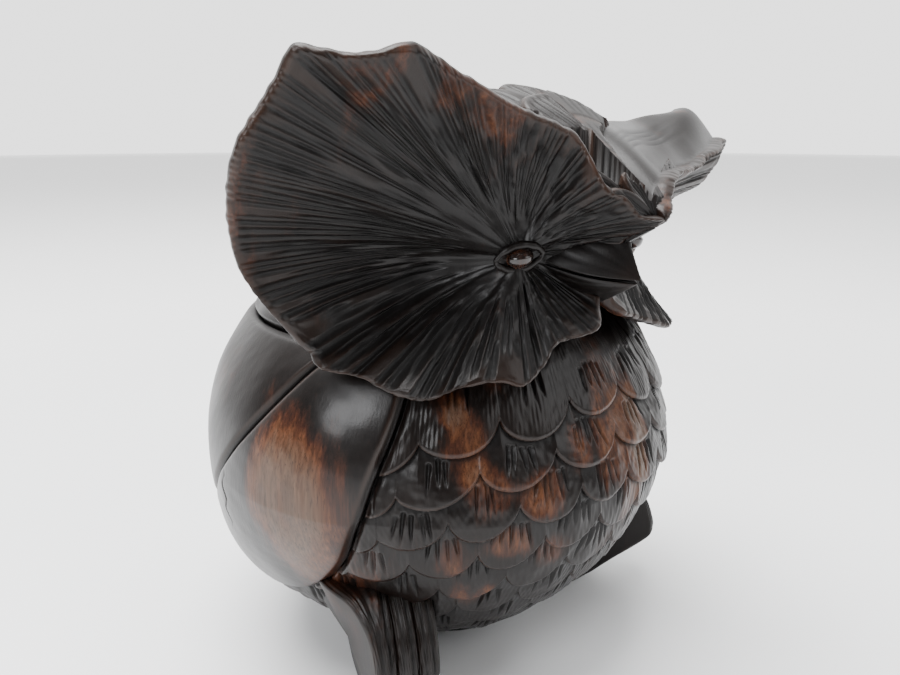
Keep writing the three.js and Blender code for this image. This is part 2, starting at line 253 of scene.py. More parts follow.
def build(name, points, faces, values, material):
    """A mesh object from points in millimetres, faces and per-vertex values."""
    mesh = bpy.data.meshes.new(name)
    mesh.vertices.add(len(points))
    mesh.vertices.foreach_set("co", (np.asarray(points) * MM).astype(np.float32).ravel())
    totals = np.concatenate([np.full(len(part), part.shape[1]) for part in faces])
    loops = np.concatenate([part.ravel() for part in faces]).astype(np.int32)
    mesh.loops.add(len(loops))
    mesh.loops.foreach_set("vertex_index", loops)
    mesh.polygons.add(len(totals))
    mesh.polygons.foreach_set("loop_start", np.concatenate([[0], np.cumsum(totals)[:-1]]).astype(np.int32))
    mesh.update(calc_edges=True)
    mesh.validate()
    mesh.shade_smooth()
    for key in ("cavity", "wear_and_highlight", "tone"):
        layer = mesh.attributes.new(key, "FLOAT", "POINT")
        amounts = np.broadcast_to(values.get(key, 0.0), (len(points),))
        layer.data.foreach_set("value", np.ascontiguousarray(amounts, dtype=np.float32))
    mesh.materials.append(material)
    piece = bpy.data.objects.new(name, mesh)
    bpy.context.scene.collection.objects.link(piece)
    return piece


def loft(name, loops, values, material, turned_out=True):
    """A closed body through a stack of closed loops, with a fan over each end."""
    rows, columns, _ = loops.shape
    ends = np.array([loops[0].mean(0), loops[-1].mean(0)])
    points = np.vstack([loops.reshape(-1, 3), ends])
    sides = quads_between(rows, columns, wrap=True)
    ring = np.arange(columns)
    nxt = (ring + 1) % columns
    first = np.stack([np.full(columns, rows * columns), nxt, ring], 1)
    base = (rows - 1) * columns
    last = np.stack([np.full(columns, rows * columns + 1), base + ring, base + nxt], 1)
    faces = [sides, first, last] if turned_out else [sides[:, ::-1], first[:, ::-1], last[:, ::-1]]
    spread = {}
    for key, amount in values.items():
        amount = np.broadcast_to(amount, (rows, columns))
        spread[key] = np.concatenate([amount.ravel(), [amount[0].mean(), amount[-1].mean()]])
    return build(name, points, faces, spread, material)


def panel(name, outer, inner, values, material, turned_out=True):
    """A closed body between two open grids of the same size."""
    rows, columns, _ = outer.shape
    count = rows * columns
    points = np.vstack([outer.reshape(-1, 3), inner.reshape(-1, 3)])
    face = quads_between(rows, columns)
    numbers = np.arange(count).reshape(rows, columns)
    rim = np.concatenate([numbers[0], numbers[1:, -1], numbers[-1, -2::-1], numbers[-2:0:-1, 0]])
    nxt = np.roll(rim, -1)
    edge = np.stack([nxt, rim, rim + count, nxt + count], 1)
    faces = [face, face[:, ::-1] + count, edge]
    if not turned_out:
        faces = [part[:, ::-1] for part in faces]
    spread = {}
    for key, amount in values.items():
        amount = np.broadcast_to(amount, (rows, columns)).ravel()
        spread[key] = np.concatenate([amount, amount])
    return build(name, points, faces, spread, material)


def finish_piece(piece, slot, *nodes):
    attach(piece, "root")
    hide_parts(*nodes)
    return piece


# --- wood ------------------------------------------------------------------------------

class Nodes:
    """Short names for adding shader nodes to one material or world."""

    def __init__(self, owner):
        self.tree = owner.node_tree
        self.tree.nodes.clear()

    def add(self, kind, **settings):
        node = self.tree.nodes.new(kind)
        for key, value in settings.items():
            setattr(node, key, value)
        return node

    def link(self, source, target):
        self.tree.links.new(source, target)

    def value(self, name):
        return self.add("ShaderNodeAttribute", attribute_name=name).outputs["Fac"]

    def maths(self, operation, a, b=0.0, clamp=False):
        node = self.add("ShaderNodeMath", operation=operation, use_clamp=clamp)
        for socket, source in zip(node.inputs, (a, b)):
            if isinstance(source, (int, float)):
                socket.default_value = source
            else:
                self.link(source, socket)
        return node.outputs[0]

    def noise(self, coordinates, scale, detail=3.0, roughness=0.55, distortion=0.0):
        """Noise on coordinates stretched by scale, a triple in features per millimetre."""
        mapping = self.add("ShaderNodeMapping")
        mapping.inputs["Scale"].default_value = [s / MM for s in scale]
        self.link(coordinates, mapping.inputs["Vector"])
        noise = self.add("ShaderNodeTexNoise")
        noise.inputs["Scale"].default_value = 1.0
        noise.inputs["Detail"].default_value = detail
        noise.inputs["Roughness"].default_value = roughness
        noise.inputs["Distortion"].default_value = distortion
        self.link(mapping.outputs[0], noise.inputs["Vector"])
        return noise.outputs["Fac"]

    def ramp(self, factor, stops):
        node = self.add("ShaderNodeValToRGB")
        bar = node.color_ramp
        while len(bar.elements) < len(stops):
            bar.elements.new(0.5)
        for element, (place, colour) in zip(bar.elements, stops):
            element.position = place
            element.color = (*colour, 1.0) if len(colour) == 3 else colour
        self.link(factor, node.inputs[0])
        return node.outputs["Color"]

    def mix(self, factor, a, b, blend="MIX"):
        node = self.add("ShaderNodeMix", data_type="RGBA", blend_type=blend)
        sockets = [node.inputs[0], node.inputs[6], node.inputs[7]]
        for socket, source in zip(sockets, (factor, a, b)):
            if isinstance(source, (int, float)):
                socket.default_value = source
            elif isinstance(source, tuple):
                socket.default_value = (*source, 1.0)
            else:
                self.link(source, socket)
        return node.outputs[2]


HEARTWOOD = (0.0032, 0.0021, 0.0018)
DARK_BROWN = (0.0105, 0.0047, 0.0031)
RED_BROWN = (0.036, 0.0112, 0.0050)
ORANGE_BROWN = (0.078, 0.029, 0.0120)
TAN = (0.080, 0.046, 0.029)
# Near black laid into cuts, undercuts and grooves by the cavity value: painted shade.
CUT_SHADE = (0.0014, 0.0010, 0.0009)
# Lighter red-brown laid along edges, lips and ridges: partly real rubbing, partly painted highlight.
RUBBED_AND_HIGHLIT = (0.040, 0.018, 0.010)


def rosewood(name, shift, roughness, coat, base):
    """Dark wood with upright streaks; shift moves its bands towards the tan end."""
    material = bpy.data.materials.new(name)
    material.use_nodes = True
    material.diffuse_color = (*base, 1.0)
    n = Nodes(material)
    place = n.add("ShaderNodeTexCoord").outputs["Object"]

    bands = n.noise(place, (0.115, 0.062, 0.016), detail=3.0, roughness=0.5, distortion=0.35)
    fibres = n.noise(place, (1.9, 1.9, 0.055), detail=3.0, roughness=0.6)
    pores = n.noise(place, (4.6, 4.6, 0.42), detail=1.0)
    clouds = n.noise(place, (0.06, 0.06, 0.04), detail=2.0)

    streaks = n.noise(place, (0.42, 0.42, 0.030), detail=2.0)
    level = n.maths("ADD", bands, n.value("tone"))
    level = n.maths("ADD", level, n.maths("MULTIPLY", n.maths("SUBTRACT", streaks, 0.5), 0.30))
    level = n.maths("ADD", level, n.maths("MULTIPLY", n.maths("SUBTRACT", fibres, 0.5), 0.16))
    level = n.maths("ADD", level, shift)
    colour = n.ramp(level, [
        (0.00, HEARTWOOD), (0.50, HEARTWOOD), (0.57, DARK_BROWN), (0.65, RED_BROWN),
        (0.74, ORANGE_BROWN), (0.90, TAN),
    ])
    grain = n.ramp(fibres, [(0.30, (0.62, 0.62, 0.62)), (0.70, (1.28, 1.24, 1.2))])
    colour = n.mix(1.0, colour, grain, "MULTIPLY")
    pits = n.ramp(pores, [(0.60, (1, 1, 1)), (0.68, (0.42, 0.40, 0.38))])
    colour = n.mix(0.85, colour, pits, "MULTIPLY")
    # Painted shade: the bottoms of cuts, undercuts and grooves are darkened towards near black.
    cavity = n.value("cavity")
    colour = n.mix(n.maths("MULTIPLY", cavity, 0.8, clamp=True), colour, CUT_SHADE)
    # Edges, lips and ridges are lightened: partly real rubbing, partly painted highlight.
    rubbed_and_highlit = n.maths("MULTIPLY", n.value("wear_and_highlight"), n.maths("ADD", clouds, 0.1), clamp=True)
    colour = n.mix(rubbed_and_highlit, colour, RUBBED_AND_HIGHLIT)

    shader = n.add("ShaderNodeBsdfPrincipled")
    n.link(colour, shader.inputs["Base Color"])
    rough = n.maths("ADD", n.maths("MULTIPLY", clouds, 0.22), roughness - 0.11)
    rough = n.maths("ADD", rough, n.maths("MULTIPLY", cavity, 0.25))
    rough = n.maths("ADD", rough, n.maths("MULTIPLY", fibres, 0.06), clamp=True)
    n.link(rough, shader.inputs["Roughness"])
    shader.inputs["Coat Weight"].default_value = coat
    shader.inputs["Coat Roughness"].default_value = 0.22
    shader.inputs["Specular IOR Level"].default_value = 0.23

    relief = n.maths("ADD", n.maths("MULTIPLY", fibres, 0.5), n.maths("MULTIPLY", pores, -0.35))
    bumps = n.add("ShaderNodeBump")
    bumps.inputs["Strength"].default_value = 0.35
    bumps.inputs["Distance"].default_value = 0.12 * MM
    n.link(relief, bumps.inputs["Height"])
    n.link(bumps.outputs["Normal"], shader.inputs["Normal"])
    output = n.add("ShaderNodeOutputMaterial")
    n.link(shader.outputs[0], output.inputs["Surface"])
    return material


WOOD = rosewood("rosewood", shift=0.0, roughness=0.34, coat=0.06, base=(0.05, 0.03, 0.02))
WING_WOOD = rosewood("rosewood_streaked", shift=0.0, roughness=0.30, coat=0.16, base=(0.1, 0.06, 0.04))
DARK_WOOD = rosewood("rosewood_dark", shift=-0.08, roughness=0.40, coat=0.03, base=(0.02, 0.015, 0.01))
POLISHED_WOOD = rosewood("rosewood_polished", shift=-0.03, roughness=0.14, coat=0.6,
                         base=(0.03, 0.02, 0.01))


# --- ball body -------------------------------------------------------------------------

def ball(azimuth, latitude, sunk=0.0):
    """Points of the ball, azimuth and latitude in degrees, sunk below its surface."""
    lat, turn = np.radians(latitude), np.radians(azimuth)
    flattened = BELLY_FLATTENING * np.minimum(np.sin(lat), 0) * smooth_step(-0.3, 0.5, np.cos(turn))
    across = (BALL_RADIUS - sunk) * np.cos(lat) * (1 + flattened)
    up = BALL_CENTRE_Z + (BALL_HALF_HEIGHT - sunk) * np.sin(lat)
    return np.stack([across * np.sin(turn), -across * np.cos(turn), up + 0 * turn], -1)


FRONT_GROOVE = spline(WING_FRONT, 200)
BACK_GROOVE = spline(WING_BACK, 200)


def azimuth_at(groove, latitude):
    return np.interp(-latitude, -groove[:, 1], groove[:, 0])


# Patches of paler wood: (azimuth, latitude, half width, half height, strength), right negative.
PALE_PATCHES = [
    (-73, 2, 11, 19, 0.40),
    (-37, 18, 6, 9, 0.30),
    (-32, 7, 6, 7, 0.36),
    (-38, -8, 6, 8, 0.30),
    (-27, -5, 5, 5, 0.36),
    (-20, 6, 6, 7, 0.38),
    (-12, 14, 4, 6, 0.28),
    (-17, -10, 6, 6, 0.28),
    (-34, -22, 7, 6, 0.30),
    (-2, 16, 5, 16, 0.27),
    (8, 12, 3, 14, 0.30),
    (-40, 27, 5, 5, 0.22),
    (40, -5, 7, 22, 0.26),
    (78, 2, 12, 18, 0.34),
    (150, 10, 10, 30, 0.28),
    (-140, -5, 9, 26, 0.26),
]
TONE_BASE = -0.075


def body_tone(azimuth, latitude):
    """How far the wood's colour is moved at a place on the ball."""
    tone = np.full(np.broadcast(azimuth, latitude).shape, TONE_BASE)
    for az, lat, wide, high, strength in PALE_PATCHES:
        away = ((azimuth - az + 180) % 360 - 180) / wide
        tone += strength * np.exp(-(away**2 + ((latitude - lat) / high) ** 2) ** 2)
    return tone


def row_level(k, share):
    """Latitude of the lower edge of feather row k; share is -1 at the right wing, 1 at the left."""
    if k == 0:
        return ROWS_TOP + CHIN_RISE * (1 - share**2)
    if k > len(FEATHER_ROWS):
        return np.full_like(share, SKIN_BOTTOM)
    return FEATHER_ROWS[k - 1][0] - ROW_DROOP * np.abs(share) ** 1.4


def scale_across(k, azimuth):
    """-1 to 1 across each scale of row k, and the number of the scale."""
    _, pitch, turned, _ = FEATHER_ROWS[min(k, len(FEATHER_ROWS)) - 1]
    place = (azimuth - turned) / pitch + 0.5
    return 2 * (place % 1) - 1, np.floor(place)


def scallop(k, azimuth, share):
    if k == 0 or k > len(FEATHER_ROWS):
        return np.zeros_like(azimuth)
    across, number = scale_across(k, azimuth)
    own = 0.35 * np.sin(number * 2.7 + k)
    lean = across + 0.10 * np.sin(number * 4.1 + k) * (1 - across**2)
    shape = SCALE_DEPTH * (1 - np.sqrt(np.maximum(1 - SCALE_ROUNDNESS * lean**2, 0)))
    hold = FEATHER_ROWS[k - 1][3]
    return (shape + own) * (1 - np.abs(share) ** hold)


def gouge(x, y, start, length, lean, width):
    """Depth from 0 to 1 of one V-shaped cut that starts at start and runs down y."""
    along = y - start[1]
    off = np.abs(x - start[0] - along * lean) / (width * np.clip(1.15 - 0.8 * along / length, 0.2, 1.15))
    blade = np.maximum(1 - off, 0) ** 0.8
    return blade * smooth_step(-0.2, 0.5, along) * (1 - smooth_step(length * 0.45, length, along))


def feather_cuts(x, y, seed, long_cut):
    """The fan of short cuts at the top of one scale, in millimetres across and down it."""
    cuts = np.random.default_rng(seed)
    depth = np.zeros_like(x)
    count = cuts.integers(3, 6)
    for j in range(count):
        spread = j - (count - 1) / 2
        start = (spread * 1.25 + cuts.normal(0, 0.18), cuts.uniform(0.3, 1.3) + 0.25 * abs(spread))
        length = long_cut * cuts.uniform(0.7, 1.1)
        cut = gouge(x, y, start, length, spread * 0.09 + cuts.normal(0, 0.03), cuts.uniform(0.42, 0.62))
        depth = np.maximum(depth, cut * cuts.uniform(0.75, 1.0))
    return depth


def feather_row(k):
    """One row of overlapping scales; its top is tucked under the row above."""
    share = np.linspace(-1, 1, 620 if k < 6 else 900)[None, :]
    down = np.linspace(0, 1, 84)[:, None] ** 0.94
    ends = np.ones_like(share)
    end_level = lerp(row_level(k - 1, ends), row_level(k, ends), down)
    reach_round = azimuth_at(FRONT_GROOVE, end_level) - 0.5
    follow_wing = (reach_round - COLUMN_SPAN) * np.abs(share) ** COLUMN_LEAN
    azimuth = share * COLUMN_SPAN + np.sign(share) * follow_wing
    upper_edge = row_level(k - 1, share) + scallop(k - 1, azimuth, share)
    lower_edge = row_level(k, share) + scallop(k, azimuth, share)
    tucked = 1.6 if k > 1 else 0.4
    latitude = lerp(upper_edge + tucked, lower_edge, down)

    below_top = (upper_edge - latitude) * MM_PER_DEGREE
    above_lip = (latitude - lower_edge) * MM_PER_DEGREE
    across, number = scale_across(k, azimuth)
    reach = np.maximum(upper_edge - lower_edge, 2.0) * MM_PER_DEGREE
    rise = np.clip(below_top / reach, 0, 1)
    sunk = SHINGLE_STEP * (1 - rise) ** 1.1 + 0.45 * across**2 * rise
    sunk = sunk + 0.40 * bump(above_lip, 0.42) + 0.35 * np.sin(number * 5.3 + 2 * k) * 0.4

    _, pitch, turned, _ = FEATHER_ROWS[min(k, len(FEATHER_ROWS)) - 1]
    cuts = np.zeros_like(latitude)
    narrow = np.cos(np.radians(latitude)) * MM_PER_DEGREE
    for scale in range(int(number.min()), int(number.max()) + 1):
        centre = turned + scale * pitch
        near = np.abs(azimuth[0] - centre) < pitch * 0.75
        if not near.any():
            continue
        column = int(np.argmin(np.abs(azimuth[10] - centre)))
        top = (min(upper_edge[10, column], TOP_CUTS) - latitude[:, near]) * MM_PER_DEGREE
        x = (azimuth[:, near] - centre) * narrow[:, near]
        cuts[:, near] = np.maximum(cuts[:, near], feather_cuts(x, top, 100 * k + scale + 50, 6.6))
    side = (reach_round - np.abs(azimuth)) * MM_PER_DEGREE * np.cos(np.radians(latitude))
    sunk = sunk + 0.62 * cuts + 0.9 * bump(side, 0.8)
    x_mm, y_mm = azimuth * MM_PER_DEGREE, latitude * MM_PER_DEGREE
    sunk = sunk + 0.10 * ripple(x_mm, y_mm, 5.0, k) + 0.035 * ripple(x_mm, y_mm * 0.4, 0.9, k + 40)

    # Painted shade under the lip of the row above, in the cuts and beside the wing groove; a lighter lip
    # along each scale's lower edge, partly real rubbing and partly painted highlight.
    shade = np.maximum(bump(below_top, 0.85) * (below_top > -1.0), 0.75 * cuts)
    values = {
        "cavity": np.clip(shade + 0.8 * bump(side, 0.5), 0, 1),
        "wear_and_highlight": np.clip(0.42 * bump(above_lip - 0.25, 0.30) + 0.12 * (1 - cuts) * rise, 0, 1),
        "tone": body_tone(azimuth, latitude) + 0.03 * np.sin(number * 3.1 + 1.7 * k),
    }
    outer = ball(azimuth, latitude, sunk)
    inner = ball(azimuth, latitude, SKIN_DEPTH)
    piece = panel(f"carved_breast_row_{k}", outer, inner, values, WOOD)
    return finish_piece(piece, "rosewood", f"breast_row_{k}")


def wing(side):
    """The smooth wing, rounded over into the grooves along its edges."""
    across = np.linspace(0, 1, 150)[None, :]
    along = np.linspace(0.0, 0.955, 260)[:, None]
    pick = (along[:, 0] * 199).astype(float)
    rows = np.arange(200)
    front = np.stack([np.interp(pick, rows, FRONT_GROOVE[:, i]) for i in (0, 1)], -1)[:, None]
    back = np.stack([np.interp(pick, rows, BACK_GROOVE[:, i]) for i in (0, 1)], -1)[:, None]
    azimuth = lerp(front[..., 0] + 0.25, back[..., 0] - 0.25, across)
    latitude = lerp(front[..., 1], back[..., 1], across)
    wide = np.hypot(back[..., 0] - front[..., 0], back[..., 1] - front[..., 1]) * MM_PER_DEGREE
    to_front, to_back = across * wide, (1 - across) * wide
    swell = 0.9 * np.sin(np.pi * np.clip(across, 0, 1)) ** 0.7 * smooth_step(0, 0.3, along)
    sunk = 1.0 * bump(to_front, 0.75) + 0.85 * bump(to_back, 0.7) - swell * smooth_step(0, 12, wide)
    x_mm, y_mm = azimuth * MM_PER_DEGREE, latitude * MM_PER_DEGREE
    sunk = sunk + 0.10 * ripple(x_mm, y_mm, 14.0, 5) + 0.015 * ripple(x_mm, y_mm, 3.2, 6)
    crack = np.zeros_like(sunk)
    if side == RIGHT:
        crack = bump((azimuth - 95 + 0.8 * np.sin(latitude)) * 0.8, 0.16) * bump(latitude + 5, 5.0)
        sunk = sunk + 0.5 * crack
    # Painted shade in the grooves along the wing and in the crack; lighter edges just inside them, partly
    # real rubbing and partly painted highlight.
    values = {
        "cavity": np.clip(bump(to_front, 0.45) + 0.8 * bump(to_back, 0.4) + crack, 0, 1),
        "wear_and_highlight": 0.5 * bump(to_front - 1.0, 0.4) + 0.5 * bump(to_back - 1.0, 0.4) + 0.05,
        "tone": body_tone(side * azimuth, latitude),
    }
    outer = ball(side * azimuth, latitude, sunk)
    inner = ball(side * azimuth, latitude, SKIN_DEPTH)
    name = SIDE_NAMES[side]
    piece = panel(f"carved_wing_{name}", outer, inner, values, WING_WOOD, turned_out=side == LEFT)
    return finish_piece(piece, "rosewood_streaked", f"wing_{name}")


def mantle():
    """The back between the wings, smooth, with long feather cuts above the tail."""
    across = np.linspace(0, 1, 420)[None, :]
    latitude = np.linspace(SKIN_TOP, SKIN_BOTTOM, 230)[:, None] + 0 * across
    start = azimuth_at(BACK_GROOVE, latitude) + 0.3
    azimuth = lerp(start, 360 - start, across)
    edge = np.minimum(across, 1 - across) * (360 - 2 * start) * MM_PER_DEGREE
    from_top = (SKIN_TOP - latitude) * MM_PER_DEGREE
    cuts = np.zeros_like(latitude)
    x = (azimuth - 180) * MM_PER_DEGREE * np.cos(np.radians(latitude))
    y = (4 - latitude) * MM_PER_DEGREE
    plumes = np.random.default_rng(3)
    for j in range(-6, 7):
        start_at = (j * 3.1 + plumes.normal(0, 0.4), 2.0 + 0.5 * abs(j) + plumes.uniform(0, 4))
        length = plumes.uniform(14, 22)
        cuts = np.maximum(cuts, gouge(x, y, start_at, length, -0.012 * j, 0.55) * plumes.uniform(0.6, 1))
    sunk = 0.85 * bump(edge, 0.8) + 0.8 * bump(from_top, 0.8) + 0.45 * cuts
    x_mm, y_mm = azimuth * MM_PER_DEGREE, latitude * MM_PER_DEGREE
    sunk = sunk + 0.10 * ripple(x_mm, y_mm, 14.0, 8) + 0.015 * ripple(x_mm, y_mm, 3.4, 9)
    # Painted shade in the grooves at the sides and top and in the feather cuts; lighter edges beside the
    # grooves, partly real rubbing and partly painted highlight.
    values = {
        "cavity": np.clip(bump(edge, 0.45) + bump(from_top, 0.5) + 0.7 * cuts, 0, 1),
        "wear_and_highlight": 0.5 * bump(edge - 1.0, 0.4) + 0.05,
        "tone": body_tone(azimuth, latitude),
    }
    outer = ball(azimuth, latitude, sunk)
    inner = ball(azimuth, latitude, SKIN_DEPTH)
    piece = panel("carved_mantle", outer, inner, values, WOOD)
    return finish_piece(piece, "rosewood", "mantle")


def torso():
    """The ball's inner wood, which shows at the nape, in the grooves and round the flat base."""
    azimuth = np.linspace(0, 360, 300, endpoint=False)[None, :]
    latitude = np.concatenate([
        np.linspace(BASE_LATITUDE, SKIN_BOTTOM - 0.6, 26),
        np.linspace(SKIN_BOTTOM - 0.5, SKIN_TOP + 0.2, 44),
        np.linspace(SKIN_TOP + 0.4, 86, 84),
    ])[:, None]
    covered = smooth_step(SKIN_BOTTOM - 0.6, SKIN_BOTTOM - 0.4, latitude)
    toward_front = np.clip(np.cos(np.radians(azimuth)), 0, 1)
    skin_top = SKIN_TOP + 0.2 + 13 * toward_front
    covered = covered * (1 - smooth_step(skin_top, skin_top + 0.5, latitude))
    from_seam = (latitude - skin_top) * MM_PER_DEGREE
    round_over = 0.8 * bump(from_seam, 0.8) * (latitude > skin_top)
    sunk = 2.85 * covered + round_over + 0.12 * ripple(azimuth * 0.8, latitude * 0.8, 9, 12) * (1 - covered)
    loops = ball(azimuth, latitude, sunk + 0 * azimuth)
    loops[..., 2] = np.maximum(loops[..., 2], 0)
    loops[0, :, 2] = 0
    # Painted shade: the wood under the skin, seen in the grooves, and along the nape seam is darkened to
    # near black.
    values = {
        "cavity": np.clip(covered + bump(from_seam, 0.5), 0, 1) + 0 * azimuth,
        "tone": body_tone(azimuth, latitude + 0 * azimuth),
    }
    piece = loft("carved_torso", loops, values, WOOD)
    return finish_piece(piece, "rosewood", "torso")


# --- face discs ------------------------------------------------------------------------

def eye_centre(side):
    return np.mean(box_mm(f"eye_{SIDE_NAMES[side]}"), axis=0)


def facing(side):
    return EYE_FACING * [side, 1, 1]


def disc_rim(side, count):
    """The rim as evenly spaced points, starting at the brow."""
    low, high = box_mm(f"face_disc_{SIDE_NAMES[side]}")
    shares = np.array(RIM_RIGHT if side == RIGHT else RIM_LEFT)
    points = np.empty_like(shares)
    inner, outer = (low[0], high[0]) if side == LEFT else (high[0], low[0])
    points[:, 0] = lerp(inner, outer, shares[:, 0])
    points[:, 1:] = lerp(low[1:], high[1:], shares[:, 1:])
    return even_spacing(spline(points, 4 * count, closed=True), count, closed=True)


def dish(side, rim, s):
    """The bare dish between the eye (s = 0) and the rim (s = 1), before any cuts."""
    eye = eye_centre(side)
    spoke = rim - eye
    length = np.linalg.norm(spoke, axis=1)
    out = side * spoke[:, 0]
    angle = np.degrees(np.arctan2(spoke[:, 2], out))
    trough = s * (1 - s) ** 1.35 / 0.245
    depth = DISC_SAG * np.clip(length / 30, 0.25, 1.15)
    crease = 3.0 * bump(angle + 5, 13) * (out > 0)
    fold = s**1.1 * (1 - s) ** 0.5 / 0.5
    lower_fan = 1.6 * bump(angle + 70, 42) * np.sin(np.pi * s)
    back = depth * trough + crease * fold - lower_fan
    return eye + spoke * s[..., None] - facing(side) * back[..., None], angle, length


def rim_offset(columns, place):
    """How many columns each column lies from a place on the closed rim."""
    return (np.arange(columns) - place + columns / 2) % columns - columns / 2


def disc_cuts(side, columns, s, angle):
    """Depth in millimetres of the flutes that run from the eye out to the rim."""
    cuts = np.random.default_rng(21 if side == RIGHT else 22)
    depth = np.zeros(s.shape)
    s_line = s[:, :1]
    column_width = RIM_LENGTH / columns
    coarse = smooth_step(0, 1, bump(angle + 70, 62))
    place = 0.0
    while place < columns:
        rough = coarse[int(place)]
        pitch = lerp(1.05, 1.75, rough) * cuts.uniform(0.65, 1.4) / column_width
        begin = cuts.choice([0.20, 0.27, 0.38, 0.50, 0.64]) + cuts.uniform(-0.04, 0.06)
        end = 1.2 if cuts.random() < 0.75 else cuts.uniform(0.75, 0.95)
        wide = 0.52 * pitch
        sway = 0.22 * cuts.normal() * np.sin(s_line * cuts.uniform(3, 8) + cuts.uniform(0, 6))
        sway = (sway + 0.35 * cuts.normal() * (1 - s_line)) * wide
        window = smooth_step(begin, begin + 0.12, s_line) * (1 - smooth_step(end - 0.1, end, s_line))
        offset = rim_offset(columns, place + 0.5 * pitch)
        near = np.abs(offset) < 3 * wide
        blade = np.maximum(1 - np.abs(offset[near] - sway) / wide, 0) ** 0.85
        blade = blade * window * lerp(0.28, 0.66, rough) * cuts.uniform(0.6, 1.2)
        blade = blade * (1 - 0.6 * smooth_step(0.93, 1.0, s_line))
        depth[:, near] = np.maximum(depth[:, near], blade)
        place += pitch
    for _ in range(SHORT_STROKES):
        begin, length = cuts.uniform(0.25, 0.8), cuts.uniform(0.1, 0.25)
        wide = cuts.uniform(0.5, 0.9) / column_width / max(begin, 0.3)
        offset = rim_offset(columns, cuts.integers(0, columns))
        near = np.abs(offset) < wide
        window = smooth_step(begin, begin + 0.05, s_line)
        window = window * (1 - smooth_step(begin + 0.6 * length, begin + length, s_line))
        depth[:, near] += 0.22 * (1 - np.abs(offset[near]) / wide) * window
    return depth


